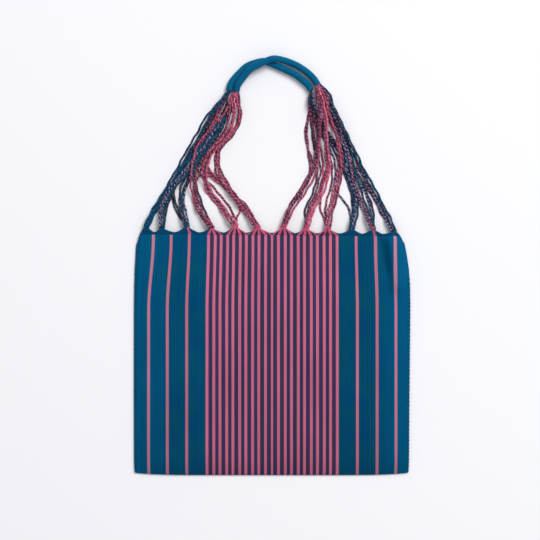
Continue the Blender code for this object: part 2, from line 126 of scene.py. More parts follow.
CORD_WIDTH = 2.6
CORD_HEIGHT = 1.9
CORD_PITCH = 3.3
LAID_CLEARANCE = 0.45
CORD_STEP = 6.0  # finer than the part's
FINE_STEP = 1.5
STEEPEST = 0.3
WEB_LENGTH = 9.0
WEB_THICKNESS = 2.4
ROOT_DEPTH = 3.0
HEAD_PITCH = 3.1
FRONT_SPREAD = 1.25  # the soft cords spread a little wider than the part's before the front handle
RIGHT_HEAD_SHIFT = 0.6  # in columns: blue cords to the right, pink ones to the left
ROW_PITCH = 2.3
FIRST_ROW_Z = 1.25
SWAY_SEED = 12
CURVE_STEPS = 12

STATION_Y = (83, 110, 139, 168, 194, 219)
SPREAD = ((1.0, 0.1), (1.0, 1.1), (0.95, 0.8), (0.7, 0.4), (0.55, 0.3), (0.45, 0.15))
FRONT_LEFT = (
    (1, 3, -169, -151, -128, -105, -85, -71.5),
    (2, 3, -159, -145, -122, -100, -81, -68),
    (3, 3, -130, -130, -114, -94, -77, -64.5),
    (4, 2, -108, -113, -106, -89, -69, -62.5),
    (4, 1, -110, -117, -117, -110, -94, -70),
    (5, 3, -72, -92, -98, -85, -62.5, -55),
    (6, 3, -41, -61, -78, -77.5, -55.5, -46.5),
)
BACK_LEFT = (
    (1, 1, -171, -154, -139, -123.5, -108.5, -93.5),
    (1, 1, -168, -151, -135, -118, -103, -89),
    (2, 2, -154, -146, -131, -116, -101.5, -87),
    (3, 2, -139, -143.5, -128, -113, -99, -84.5),
    (4, 2, -101, -110, -115, -110, -96.5, -82.5),
    (5, 1, -60, -83, -108, -106, -94.5, -81),
    (6, 2, -36, -65, -96, -103, -92, -79.5),
    (5, 1, -47, -63, -90, -99, -89.5, -77.5),
)
FRONT_RIGHT = (
    (7, 3, 28, 47, 61, 66.5, 68, 70),
    (8, 3, 59, 73, 81, 79, 78, 77),
    (9, 3, 86, 94, 99, 98.5, 92, 83),
    (10, 3, 122, 119, 109, 106, 98, 88.5),
    (11, 3, 135, 125, 117, 112, 102.5, 91.5),
    (12, 3, 161, 147, 131, 117.5, 106, 94),
)
BACK_RIGHT = (
    (7, 2, 25, 43, 57, 53, 49.5, 54),
    (8, 2, 51, 63, 68, 63, 59, 57),
    (9, 1, 71, 70, 75, 71, 65, 59.3),
    (9, 1, 77, 84, 87, 82, 70, 61),
    (10, 1, 112, 92, 93, 85, 71, 62.3),
    (10, 1, 117, 113, 102, 90, 74.5, 64),
    (11, 2, 145, 134, 117, 96, 77, 65.5),
    (12, 2, 157, 143, 123, 101, 81, 67.5),
)

HANDLE_RADIUS = 5.0
HANDLE_SIDES = 8
HANDLE_STEP = 5.5
CROSSING_LIFT = 10.2
FRONT_HANDLE = (
    (-51.5, 253.7, 0.02),
    (-49.6, 261.7, 0.35),
    (-40.6, 274.0, 0.62),
    (-30.7, 284.9, 0.85),
    (-14.3, 293.3, 1.0),
    (-5.1, 297.4, 1.0),
    (4.4, 299.6, 0.8),
    (16.9, 297.8, 0.25),
    (30.0, 293.2, 0.0),
    (40.7, 287.8, 0.0),
    (52.9, 278.9, 0.0),
    (61.4, 270.2, 0.0),
    (66.5, 262.2, 0.0),
)
BACK_HANDLE = (
    (-62.5, 253.7, 0.0),
    (-58.2, 266.4, 0.0),
    (-46.7, 279.9, 0.0),
    (-34.0, 290.7, 0.0),
    (-15.0, 296.5, 0.0),
    (-5.8, 294.8, 0.0),
    (4.4, 290.8, 0.0),
    (14.0, 286.6, 0.0),
    (24.3, 282.1, 0.0),
    (34.3, 276.7, 0.0),
    (45.2, 268.4, 0.0),
    (52.9, 261.2, 0.0),
    (56.3, 254.9, 0.0),
)

STRAPS = (
    ("back_left_strap", BACK_LEFT, BACK_HANDLE, 0, (-72.3, 238.0)),
    ("back_right_strap", BACK_RIGHT, BACK_HANDLE, -1, (56.6, 239.2)),
    ("front_left_strap", FRONT_LEFT, FRONT_HANDLE, 0, (-54.7, 239.0)),
    ("front_right_strap", FRONT_RIGHT, FRONT_HANDLE, -1, (74.6, 245.0)),
)

# ---- sizes of the looks

# Stripes: middles of the single ones on either side, and the comb in the middle
SINGLE_STRIPES = (180.2, 152.7, 123.9)
COMB_PITCH = 9.455
COMB_HALF = 97.0
STRIPE_HALF = 2.05
STRAIGHT_LEFT = -199.5
STRAIGHT_WIDTH = 399.5

# How far the stripes lean sideways by the mouth: (place across, lean)
LEAN = (
    (-199, 6.0),
    (-180, 8.1),
    (-152.7, 6.7),
    (-123.9, 4.2),
    (-94.5, 2.8),
    (-50, 1.2),
    (0, 0),
    (94.5, -0.3),
    (123.9, -2.3),
    (152.7, -3.4),
    (180.2, -1.9),
    (199, -1.2),
)
# The lean grows between these two rows
LEAN_FROM_Y = -65.0
LEAN_FULL_Y = 40.0
LEAN_BELOW = 0.15  # share of the lean that the stripes keep down to the fold

# Where the warp threads are drawn together, above the last weft
FAN_BELOW_VALLEY = 4.2
BARE_SHARE = 1.2  # added where the stripe is turned under, so that its hem shows
MOST_DRAWN = 1.15
LEAST_FAN = 0.5
BUNCH_HALF = 3.4  # half the width of a drawn bunch of threads
BUNDLE_WIDTH = 2.3
BUNDLE_STEPS = 24
BUNDLE_BELOW = 0.12  # share of the fan's height that a bundle reaches below the last weft
PINK_BUNDLE = 1.25
BLUE_BUNDLE = 0.95

# Rows and columns of the cloth's mesh, closer by the mouth and the gathers
HALF_COLUMNS = 8
COLUMN_POWER = 1.5
MOUTH_ROWS = 15
BODY_ROWS = 56
ROW_POWER = 1.05
EDGE_POINTS = 3

# Pleats of the drawn cloth, and slight ripples all over
PLEATS = 3
PLEAT_HEIGHT = 0.3
PLEAT_LENGTH = 7.0
PLEAT_START = 1.5
RIPPLES = 14
RIPPLE_FADE = 12.0
RIPPLE_MOUTH_FADE = 10.0

THREAD_PITCH = 0.82  # one warp thread to the next
PICK_PITCH = 1.5
WEAVE_DEPTH = 0.00028  # metres
EVEN_THREADS = 4000.0  # an even number, added so that no thread's number is negative
FAR_OFF = 50.0  # outside the comb, so that no stripe of it is near
# Painted light: from here and over this run the cloth grows paler towards the sewn sides
PALER_FROM = 140.0
PALER_RUN = 58.0
# Painted light: over this run the cloth grows lighter towards its mouth
MOUTH_LIGHT_RUN = 350.0

# Side stitches: (side, pitch, radius, how far they stand out, last y)
STITCHES = ((-1, 6.4, 0.42, 0.0, 31), (1, 5.6, 0.5, 0.2, -16))
STITCH_STEP = 0.8
THREAD_SIDES = 6

# Three yarns are twisted into each cord
PLIES = 3
PLY_RADIUS = 0.82
PLY_OFFSET = 0.82
TWIST_PITCHES = (5.0, 8.0)
CORD_FLATNESS = 0.8
PLY_SIDES = 6
PLY_FLATNESS = 0.9
PLY_STEP = 0.84
FOOT_PITCH = 2.8
FOOT_LIFTS = (-0.25, 0.35)  # in turn, of a gather's cords where they leave the cloth
WANDER = 0.8  # how far a cord strays sideways from its plan
WANDER_FADE = 22.0
THINNER_END = 0.85
MOST_PALE = 0.42
# How long each slow change along a cord is
WAVES = {"place": 52.0, "girth": 31.0, "twist": 23.0, "ply": 7.3, "mix": 6.1, "shade": 5.9, "pale": 4.3}
TIP_PITCH = 1.5  # of the cords' ends inside a handle, across it
TIP_ROW_PITCH = 1.7

BINDING_RADIUS = 0.5
BINDING_HALF_HEIGHT = 1.45
BINDING_RISE = 0.95  # along the cords, for each turn

WINDING_STEP = 0.24
WINDING_SIDES = 24
WINDING_PITCH = 1.45
WOUND_RADIUS = 4.72
WINDING_DEPTH = 0.16
LOWEST = 0.02  # above the floor
FLOOR_HALF = 9000.0

# Camera and light, in metres
CAMERA_HEIGHT = 3.0
CAMERA_PLACE = (-0.0029, -0.0066, CAMERA_HEIGHT)
SEEN_WIDTH = 0.7855
KEY_PLACE = (2.7, 3.1, 4.9)
KEY_SIZE = 3.0
KEY_POWER = 325

# Colours in linear light
WIDE_BLUE = (0.0002, 0.062, 0.160, 1)
WIDE_TEAL = (0.0006, 0.070, 0.134, 1)
# Painted light: paler blue and pink by the sewn sides stand in for the light on their rounding
SIDE_LIT_BLUE = (0.0002, 0.089, 0.206, 1)
COMB_BLUE = (0.036, 0.031, 0.082, 1)
STRIPE_PINK = (0.53, 0.131, 0.214, 1)
SINGLE_PINK = (0.52, 0.155, 0.238, 1)  # of the stripes beside the comb
SIDE_LIT_PINK = (0.45, 0.200, 0.278, 1)  # of the stripes by the sides
HEM_BLUE = (0.003, 0.062, 0.120, 1)
STITCH_BLUE = (0.002, 0.070, 0.140)
HANDLE_BLUE = (0.0002, 0.106, 0.223)
FLOOR_WHITE = (0.875, 0.875, 0.912, 1)
SKY_WHITE = (0.95, 0.97, 1.0, 1)
SKY_POWER = 0.53
KEY_WHITE = (1.0, 0.985, 0.96)
YARNS = {
    "P": (0.59, 0.094, 0.185),
    "L": (0.60, 0.26, 0.40),
    "V": (0.36, 0.24, 0.38),
    "D": (0.070, 0.038, 0.068),
    "N": (0.010, 0.024, 0.078),
    "B": (0.002, 0.084, 0.180),
    "T": (0.006, 0.042, 0.056),
}
PALE_FLECK = (0.44, 0.35, 0.46)
# The yarns of each gather's front cords, and of its back cords
CORD_YARNS = {
    # The back cords of gathers 1 to 3 have darker yarns: partly their own navy, partly painted shade of the
    # back strap's head
    1: ("BBB BBN BBB", "BNN BBN"),
    2: ("NVB TNV BBT", "BTN NND"),
    3: ("TND BTN NVB", "TNN NTD"),
    4: ("PDD DPD PPD", "PDD DND"),
    5: ("PPD PDD PPL", "PDD PPD"),
    6: ("PDD PPD PDD", "PPD PDD"),
    7: ("PDD PDN PPD", "PDN DNP"),
    8: ("PDD PPP PPL", "DND PDD"),
    9: ("PDL PPD PDD", "PPD PDD"),
    10: ("BTN BNV TNB", "NVN NND"),
    11: ("NVD PNT BBT", "NVN TNN"),
    12: ("NVB TND BBN", "NNP TNV"),
}


# ---- curves and cord paths


def smooth_curve(points, spacing):
    """Points about one spacing apart on a Catmull-Rom curve through the given points."""
    points = [Vector(point) for point in points]
    ends = [2 * points[0] - points[1], *points, 2 * points[-1] - points[-2]]
    dense = []
    for before, start, stop, after in zip(ends, ends[1:], ends[2:], ends[3:]):
        for step in range(CURVE_STEPS):
            t = step / CURVE_STEPS
            twice = 2 * start + (stop - before) * t
            twice += (2 * before - 5 * start + 4 * stop - after) * t**2
            twice += (3 * start - before - 3 * stop + after) * t**3
            dense.append(0.5 * twice)
    dense.append(points[-1])
    return even_points(dense, spacing)


def even_points(line, spacing):
    lengths = [0.0]
    for a, b in zip(line, line[1:]):
        lengths.append(lengths[-1] + (b - a).length)
    count = max(2, round(lengths[-1] / spacing))
    result = []
    piece = 0
    for index in range(count + 1):
        target = lengths[-1] * index / count
        while piece < len(line) - 2 and lengths[piece + 1] < target:
            piece += 1
        run = lengths[piece + 1] - lengths[piece]
        share = (target - lengths[piece]) / run if run else 0
        result.append(line[piece].lerp(line[piece + 1], min(max(share, 0), 1)))
    return result


def handle_line(route, spacing):
    rest = HANDLE_RADIUS * math.cos(math.pi / HANDLE_SIDES)
    line = smooth_curve([(x, y, rest + CROSSING_LIFT * lift) for x, y, lift in route], spacing)
    return [Vector((point.x, point.y, max(point.z, rest))) for point in line]


class LaidCords:
    """The cords that lie there already, as close points by cell, so that the next goes over them."""

    REACH = CORD_WIDTH + CLEARANCE
    RISE = CORD_HEIGHT + LAID_CLEARANCE

    def __init__(self):
        self.cells = {}

    def cell(self, point):
        return int(point.x // self.REACH), int(point.y // self.REACH)

    def add(self, point):
        self.cells.setdefault(self.cell(point), []).append(point)

    def support(self, place):
        height = CORD_HEIGHT / 2
        column, row = self.cell(place)
        for cell in ((column + i, row + j) for i in (-1, 0, 1) for j in (-1, 0, 1)):
            for point in self.cells.get(cell, ()):
                apart = math.hypot(point.x - place.x, point.y - place.y) / self.REACH
                if apart < 1:  # soft cords that meet at their sides nestle
                    height = max(height, point.z + self.RISE * math.sqrt(1 - apart * apart))
        return height


def lay_cord(plan, start_z, end_z, laid):
    """Lifts the plan of a cord over what lies under it, no steeper than a cord can climb."""
    fine = []
    for piece, (a, b) in enumerate(zip(plan, plan[1:])):
        count = max(2, round((b - a).length / FINE_STEP))
        fine += [(piece, step / count, a.lerp(b, step / count)) for step in range(count)]
    fine.append((len(plan) - 2, 1.0, plan[-1]))
    needs = [laid.support(place) for _, _, place in fine]
    needs[0], needs[-1] = start_z, end_z
    for order, back in ((range(1, len(fine)), -1), (range(len(fine) - 2, -1, -1), 1)):
        for index in order:
            run = (fine[index][2] - fine[index + back][2]).length
            needs[index] = max(needs[index], needs[index + back] - STEEPEST * run)
    heights = [0.0] * len(plan)
    for (piece, _, _), need in zip(fine, needs):
        heights[piece] = max(heights[piece], need)
        heights[piece + 1] = max(heights[piece + 1], need)
    heights[0], heights[-1] = start_z, end_z
    for piece, share, place in fine:
        z = heights[piece] + (heights[piece + 1] - heights[piece]) * share
        laid.add(Vector((place.x, place.y, z)))
    return [Vector((place.x, place.y, z)) for place, z in zip(plan, heights)]


def sideways(direction):
    return Vector((direction.y, -direction.x, 0)).normalized()


def plan_bunches(bunches):
    """For each cord of a strap: its gather, place in its web, and the stations that it passes."""
    totals = {}
    for gather, count, *_ in bunches:
        totals[gather] = totals.get(gather, 0) + count
    begun = dict.fromkeys(totals, 0)
    cords = []
    for gather, count, *stations in bunches:
        for cord in range(count):
            root = begun[gather] - (totals[gather] - 1) / 2
            spread = cord - (count - 1) / 2
            cords.append((gather, begun[gather], root, spread, stations))
            begun[gather] += 1
    return totals, cords


class Gather:
    """Where the cords of a gather leave the cloth, leaning towards where they go."""

    def __init__(self, gather, bunches, front):
        x, y = GATHERS[gather - 1]
        starts = [row[2] for row in bunches if row[0] == gather]
        self.foot = Vector((x, y + CLEARANCE, 0))
        first = Vector((sum(starts) / len(starts), STATION_Y[0], 0))
        self.lean = (first - self.foot).normalized()
        self.top = self.foot + self.lean * WEB_LENGTH
        self.across = sideways(self.lean)
        self.middle_z = WEB_THICKNESS / 2
        if front:
            side = min(x - OUTLINE[-1][1], OUTLINE[-1][2] - x)
            self.middle_z = 1.5 * CLOTH_THICKNESS + float(air_height(x, y, side, y - FOLD_Y, 0))


class Head:
    """Where the cords of a strap are pressed together, in four rows, and enter the handle."""

    def __init__(self, cords, front, route, end, neck):
        line = handle_line(route, HANDLE_STEP)
        tip, inner = (line[0], line[1]) if end == 0 else (line[-1], line[-2])
        self.tip = tip
        self.into_handle = (inner - tip).normalized()
        self.neck = Vector((*neck, 0))
        self.across = sideways((Vector((tip.x, tip.y, 0)) - self.neck).normalized())
        self.pitch = HEAD_PITCH * (FRONT_SPREAD if front else 1)
        # Pink cords come on top at the front handle, blue ones at the back handle
        on_top = [(gather in PINK_GATHERS) == front for gather, *_ in cords]
        order = sorted(range(len(cords)), key=lambda index: on_top[index])
        half = len(cords) // 2
        columns = math.ceil(half / 2)
        shift = RIGHT_HEAD_SHIFT if front and end == -1 else 0
        self.places = {}
        for place, index in enumerate(order):
            upper = place // half
            column = place % half // 2 - (columns - 1) / 2 + shift * (1 - 2 * upper)
            self.places[index] = (2 * upper + place % half % 2, column)

    def row(self, index):
        return self.places[index][0]

    def column(self, index):
        return self.places[index][1]

    def slot(self, index):
        return self.neck + self.across * (self.column(index) * self.pitch)


def cord_plan(root, spread, stations, web, slot, sway):
    start = web.top + web.across * (root * CORD_PITCH)
    guide = [web.top, *[Vector((x, y, 0)) for x, y in zip(stations, STATION_Y)], slot]
    points = [start - web.lean * ROOT_DEPTH, start + web.lean]
    for index, (spread_here, wander) in enumerate(SPREAD, 1):
        beside = sideways(guide[index + 1] - guide[index - 1])
        offset = spread * CORD_PITCH * spread_here + sway.uniform(-wander, wander)
        points.append(guide[index] + beside * offset)
    return smooth_curve([*points, slot], CORD_STEP)


# ---- the cloth's height, on arrays


def smoothstep(share):
    share = np.clip(share, 0, 1)
    return share * share * (3 - 2 * share)


def distance_to_line(x, y, x0, y0, x1, y1):
    run_x, run_y = x1 - x0, y1 - y0
    near = np.clip(((x - x0) * run_x + (y - y0) * run_y) / (run_x**2 + run_y**2), 0, 1)
    return np.hypot(x - x0 - run_x * near, y - y0 - run_y * near)


def add_folds(height, folds, x, y):
    for x0, y0, x1, y1, half_width, full in folds:
        apart = distance_to_line(x, y, x0, y0, x1, y1)
        height = height + full * np.exp(-((apart / half_width) ** 2))
    return height


def rounded_edge(share):
    return np.sin(np.pi / 2 * np.clip(share, 0, 1)) ** EDGE_FULLNESS


def air_height(x, y, side_distance, fold_distance, mouth_distance):
    full = MOUTH_AIR + (POCKET_AIR - MOUTH_AIR) * smoothstep(mouth_distance / MOUTH_REACH)
    full = add_folds(full, SOFT_FOLDS, x, y)
    for gather_x, _ in GATHERS:
        across = (x - gather_x) / PUCKER_WIDTH
        full = full + GATHER_PUCKER * np.exp(-(across**2) - mouth_distance / PUCKER_LENGTH)
    side = rounded_edge(side_distance / SIDE_ROUNDING)
    fold = rounded_edge(fold_distance / FOLD_ROUNDING)
    return SEWN_AIR + (full - SEWN_AIR) * side * fold


def corner_fold(x, y, side_distance, mouth_distance):
    """Extra height of the upper layer in the folds by the right corner."""
    height = add_folds(0.0, CORNER_FOLDS, x, y)
    return height * smoothstep(side_distance / FOLD_SIDE_FADE) * smoothstep(mouth_distance / FOLD_MOUTH_FADE)


def outline_at(y):
    rows = np.array(OUTLINE, float)
    return np.interp(y, rows[:, 0], rows[:, 1]), np.interp(y, rows[:, 0], rows[:, 2])


LEFT_CORNER = (float(outline_at(LEFT_CORNER_Y)[0]), LEFT_CORNER_Y)
RIGHT_CORNER = (float(outline_at(RIGHT_CORNER_Y)[1]), RIGHT_CORNER_Y)


def lean_at(y):
    rise = smoothstep((y - LEAN_FROM_Y) / (LEAN_FULL_Y - LEAN_FROM_Y))
    return LEAN_BELOW + (1 - LEAN_BELOW) * rise


def warp_at(x, y):
    """Warp coordinate, in millimetres across the straight cloth, of a place on the bag."""
    rows = np.array(LEAN, float)
    warp = np.asarray(x, float)
    for _ in range(4):
        warp = x - np.interp(warp, rows[:, 0], rows[:, 1]) * lean_at(y)
    return warp


def valley_at(x):
    return MOUTH_VALLEY_Y + MOUTH_SLOPE * x


class Scallop:
    """Half of a scallop: the mouth from a gather to the middle between it and the next one."""

    def __init__(self, gather, side):
        self.gather = gather
        self.x, self.y = GATHERS[gather - 1]
        other = gather + side
        self.ends = not 1 <= other <= len(GATHERS)
        if self.ends:
            self.middle_x, self.corner_y = LEFT_CORNER if side < 0 else RIGHT_CORNER
        elif gather in MIDDLE_GATHERS and other in MIDDLE_GATHERS:
            self.middle_x = 0.0
        else:
            self.middle_x = (self.x + GATHERS[other - 1][0]) / 2
        self.weft_y = valley_at(self.x) - FAN_BELOW_VALLEY

    def x_at(self, share):
        return self.x + (self.middle_x - self.x) * share

    def place(self, share):
        """The mouth's line at a share of the way from the gather to the middle."""
        x = self.x_at(share)
        if self.ends:
            return x, self.y + (self.corner_y - self.y) * share**END_FULLNESS
        depth = 1 - (1 - share) ** SCALLOP_FULLNESS
        return x, self.y + (valley_at(self.middle_x) - self.y) * depth

    def outermost(self, rise):
        """Share of the way at which the outermost thread lies, at a rise above the last weft."""
        bunch = BUNCH_HALF / abs(self.middle_x - self.x)
        return bunch + (1 - bunch) * (1 - smoothstep(rise))

    def drawn(self, share, y):
        """Which thread passes here, from 0 at the gather to 1 at the middle and more beyond."""
        return share / self.outermost((y - self.weft_y) / (self.y - self.weft_y))

    def warp_here(self, share, y):
        drawn = np.minimum(self.drawn(share, y), MOST_DRAWN)
        x = self.x_at(np.where(y > self.weft_y, drawn, share))
        return warp_at(x, np.minimum(y, self.weft_y))


# ---- meshes


def link(name, data):
    obj = bpy.data.objects.new(name, data)
    bpy.context.scene.collection.objects.link(obj)
    return obj


def mesh_object(name, points, faces, material, layers=(), colours=None):
    """An object from points in millimetres. layers are UV maps, given as two numbers a point."""
    mesh = bpy.data.meshes.new(name)
    mesh.from_pydata((np.asarray(points, float) * MM).tolist(), [], np.asarray(faces).tolist())
    corners = np.empty(len(mesh.loops), np.int32)
    mesh.loops.foreach_get("vertex_index", corners)
    for layer, values in layers:
        uv = mesh.uv_layers.new(name=layer)
        uv.uv.foreach_set("vector", np.asarray(values, np.float32)[corners].ravel())
    if colours is not None:
        attribute = mesh.color_attributes.new("tint", "FLOAT_COLOR", "POINT")
        rgba = np.ones((len(points), 4), np.float32)
        rgba[:, :3] = colours
        attribute.data.foreach_set("color", rgba.ravel())
    mesh.polygons.foreach_set("use_smooth", [True] * len(mesh.polygons))
    mesh.update()
    mesh.materials.append(material)
    return link(name, mesh)


UP = np.array((0.0, 0.0, 1.0))


def unit(vectors):
    return vectors / np.maximum(np.linalg.norm(vectors, axis=1, keepdims=True), 1e-9)


def frames_along(path, up):
    """Directions to the side of a path, and square to both the path and its side."""
    along = unit(np.gradient(path, axis=0))
    side = unit(np.cross(along, up))
    return side, np.cross(side, along)


def curve_array(points):
    return np.array([tuple(point) for point in points])


def run_along(path):
    """Distance of each point of a path from its start, along the path."""
    return np.append(0, np.cumsum(np.linalg.norm(np.diff(path, axis=0), axis=1)))


class Tubes:
    """Tubes that become one mesh. Radius and colour: one for all, one a ring, or one a point."""

    def __init__(self):
        self.points, self.faces, self.colours, self.count = [], [], [], 0

    def add(self, path, radius, sides, colour, up=(0, 0, 1), flatness=1.0):
        path, radius, colour = (np.asarray(values, float) for values in (path, radius, colour))
        side, square = frames_along(path, np.asarray(up, float))
        turn = 2 * np.pi * np.arange(sides) / sides
        if radius.ndim == 1:
            radius = radius[:, None]
        if colour.ndim == 2:
            colour = colour[:, None]
        ring = side[:, None] * np.cos(turn)[:, None] + square[:, None] * np.sin(turn)[:, None]
        ring = ring * radius[..., None] * np.array((1, 1, flatness))
        points = (path[:, None] + ring).reshape(-1, 3)
        points[:, 2] = np.maximum(points[:, 2], LOWEST)
        base = self.count + sides * np.arange(len(path) - 1)[:, None]
        here, following = base + np.arange(sides), base + (np.arange(sides) + 1) % sides
        quads = np.stack([here, following, sides + following, sides + here], -1)
        self.points.append(points)
        self.faces.append(quads.reshape(-1, 4))
        self.colours.append(np.broadcast_to(colour, (len(path), sides, 3)).reshape(-1, 3))
        self.count += len(points)

    def build(self, name, material):
        points, faces, colours = map(np.concatenate, (self.points, self.faces, self.colours))
        return mesh_object(name, points, faces, material, colours=colours)


# ---- materials


class Nodes:
    """Short calls for building a material's nodes."""

    def __init__(self, name):
        self.material = bpy.data.materials.new(name)
        self.material.use_nodes = True
        self.tree = self.material.node_tree
        self.shader = self.tree.nodes["Principled BSDF"]

    def fill(self, node, inputs):
        """Sets or links a node's inputs, by name or by number."""
        for name, value in dict(inputs).items():
            if isinstance(value, bpy.types.NodeSocket):
                self.tree.links.new(value, node.inputs[name])
            else:
                node.inputs[name].default_value = value

    def new(self, kind, inputs=(), **settings):
        node = self.tree.nodes.new("ShaderNode" + kind)
        for name, value in settings.items():
            setattr(node, name, value)
        self.fill(node, inputs)
        return node

    def math(self, operation, *values, clamp=False):
        return self.new("Math", enumerate(values), operation=operation, use_clamp=clamp).outputs[0]

    def times(self, a, b, clamp=False):
        return self.math("MULTIPLY", a, b, clamp=clamp)

    def mix(self, share, a, b, blend="MIX"):
        inputs = {"Factor": share, "A": a, "B": b}
        return self.new("Mix", inputs, data_type="RGBA", blend_type=blend).outputs["Result"]

    def shaded(self, colour, level):
        return self.mix(1.0, colour, self.vector(level, level, level), "MULTIPLY")

    def vector(self, x=0.0, y=0.0, z=0.0):
        return self.new("CombineXYZ", enumerate((x, y, z))).outputs[0]

    def noise(self, vector, scale, detail=2.0, roughness=0.5):
        inputs = {"Vector": vector, "Scale": scale, "Detail": detail, "Roughness": roughness}
        return self.new("TexNoise", inputs).outputs[0]

    def cloth_noise(self, across, along, across_scale, along_scale, detail):
        """Noise with one scale across the cloth and another along it."""
        x = self.times(across, across_scale)
        y = self.times(along, along_scale)
        return self.noise(self.vector(x, y), 1.0, detail)

    def spread(self, value, low, high):
        """A value from 0 to 1, read as one from low to high."""
        return self.math("MULTIPLY_ADD", value, high - low, low)

    def map_parts(self, name):
        """The two numbers of a UV map."""
        place = self.new("UVMap", uv_map=name).outputs[0]
        return self.new("SeparateXYZ", {0: place}).outputs[:2]

    def bump(self, height, depth):
        normal = self.new("Bump", {"Distance": depth, "Height": height}).outputs[0]
        self.fill(self.shader, {"Normal": normal})

    def finish(self, colour, roughness, sheen=0.0, specular=0.04):
        inputs = {
            "Base Color": colour,
            "Metallic": 0,
            "Roughness": roughness,
            "Specular IOR Level": specular,
            "Sheen Weight": sheen,
            "Sheen Roughness": 0.45,
        }
        self.fill(self.shader, inputs)
        return self.material


def stripe_colour(n, across, along, number):
    """Colour of each thread by its place across the cloth, and whether it is in the comb."""
    place = n.math("ABSOLUTE", n.times(n.math("ADD", number, 0.5), THREAD_PITCH))
    nearest = n.math("PINGPONG", n.math("ADD", place, COMB_PITCH * 8), COMB_PITCH / 2)
    in_comb = n.math("LESS_THAN", place, COMB_HALF)
    nearest = n.math("ADD", nearest, n.times(n.math("SUBTRACT", 1.0, in_comb), FAR_OFF))
    for stripe in SINGLE_STRIPES:
        nearest = n.math("MINIMUM", nearest, n.math("ABSOLUTE", n.math("SUBTRACT", place, stripe)))
    pink = n.math("LESS_THAN", nearest, STRIPE_HALF)

    # Painted light: the cloth is paler along the sewn sides, standing in for the light on their rounding
    beside = n.math("DIVIDE", n.math("SUBTRACT", place, PALER_FROM), PALER_RUN, clamp=True)
    patch = n.cloth_noise(across, along, 0.035, 0.022, 1.0)
    greener = n.times(n.math("SUBTRACT", patch, 0.35), 3.3, clamp=True)
    blue = n.mix(beside, n.mix(greener, WIDE_BLUE, WIDE_TEAL), SIDE_LIT_BLUE)
    single = n.mix(beside, SINGLE_PINK, SIDE_LIT_PINK)
    ground = n.mix(in_comb, blue, COMB_BLUE)
    return n.mix(pink, ground, n.mix(in_comb, single, STRIPE_PINK)), in_comb


def weave_relief(n, across, along, thread, number):
    """Each thread rises between two picks of the weft, and its neighbours half a pick later."""
    odd = n.math("MODULO", n.math("ADD", number, EVEN_THREADS), 2.0)
    pick = n.math("ADD", n.math("DIVIDE", along, PICK_PITCH), n.times(odd, 0.5))
    rise = n.math("ABSOLUTE", n.math("SINE", n.times(pick, math.pi)))
    rib = n.math("ABSOLUTE", n.math("SINE", n.times(thread, math.pi)))
    height = n.times(n.math("POWER", rib, 0.6), n.spread(rise, 0.45, 1.0))
    fuzz = n.cloth_noise(across, along, 6.0, 2.0, 3.0)
    return n.math("ADD", height, n.times(fuzz, 0.35)), fuzz


def striped_cloth():
    """Warp-faced weave: threads run along the bag, stripes are whole threads of another colour."""
    n = Nodes("striped_cloth")
    across, along = n.map_parts("weave")
    thread = n.math("DIVIDE", across, THREAD_PITCH)
    number = n.math("FLOOR", thread)
    colour, in_comb = stripe_colour(n, across, along, number)
    # Beyond the outermost gathered thread, a narrow bare hem shows
    bare, _ = n.map_parts("mouth")
    colour = n.mix(n.math("GREATER_THAN", bare, 1.0), colour, HEM_BLUE)

    streak = n.cloth_noise(across, along, 0.9, 0.012, 3.0)
    broad = n.cloth_noise(across, along, 0.018, 0.011, 2.0)
    own = n.new("TexWhiteNoise", {"W": number}, noise_dimensions="1D").outputs["Value"]
    level = n.times(n.spread(own, 0.90, 1.10), n.spread(streak, 0.84, 1.18))
    level = n.times(level, n.spread(broad, 0.84, 1.18))
    # Painted light: the cloth is made lighter towards its mouth, standing in for the light that falls more
    # on its upper part
    painted_mouth_light = n.math("DIVIDE", along, MOUTH_LIGHT_RUN, clamp=True)
    least = n.math("ADD", 0.82, n.times(in_comb, 0.08))
    level = n.times(level, n.math("ADD", least, n.times(painted_mouth_light, 0.24)))

    height, fuzz = weave_relief(n, across, along, thread, number)
    # Painted shade: the weave is darker where its relief is low, between threads and between picks
    level = n.times(level, n.spread(height, 0.70, 1.12))
    n.bump(height, WEAVE_DEPTH)
    return n.finish(n.shaded(colour, level), n.spread(fuzz, 0.82, 0.97))


def yarn(name, fibre_depth, sheen, roughness):
    """Cotton yarn that takes its colour from its mesh, with darker and paler fibres."""
    n = Nodes(name)
    tint = n.new("Attribute", attribute_name="tint").outputs["Color"]
    place = n.new("TexCoord").outputs["Object"]
    fibres = n.noise(place, 2600.0, 3.0, 0.6)
    patches = n.noise(place, 260.0, 2.0)
    level = n.times(n.spread(fibres, 0.62, 1.35), n.spread(patches, 0.72, 1.28))
    n.bump(fibres, fibre_depth)
    roughness = n.spread(patches, roughness - 0.06, roughness + 0.08)
    return n.finish(n.shaded(tint, level), roughness, sheen)


# ---- cloth


def cloth_columns():
    """(half scallop, share of it) of each column, from left to right."""
    shares = [(step / HALF_COLUMNS) ** COLUMN_POWER for step in range(HALF_COLUMNS + 1)]
    columns = []
    for gather in range(1, len(GATHERS) + 1):
        left, right = Scallop(gather, -1), Scallop(gather, 1)
        first = shares[:0:-1] if gather == 1 else shares[-2:0:-1]
        columns += [(left, share) for share in first]
        columns += [(right, share) for share in shares]
    return columns


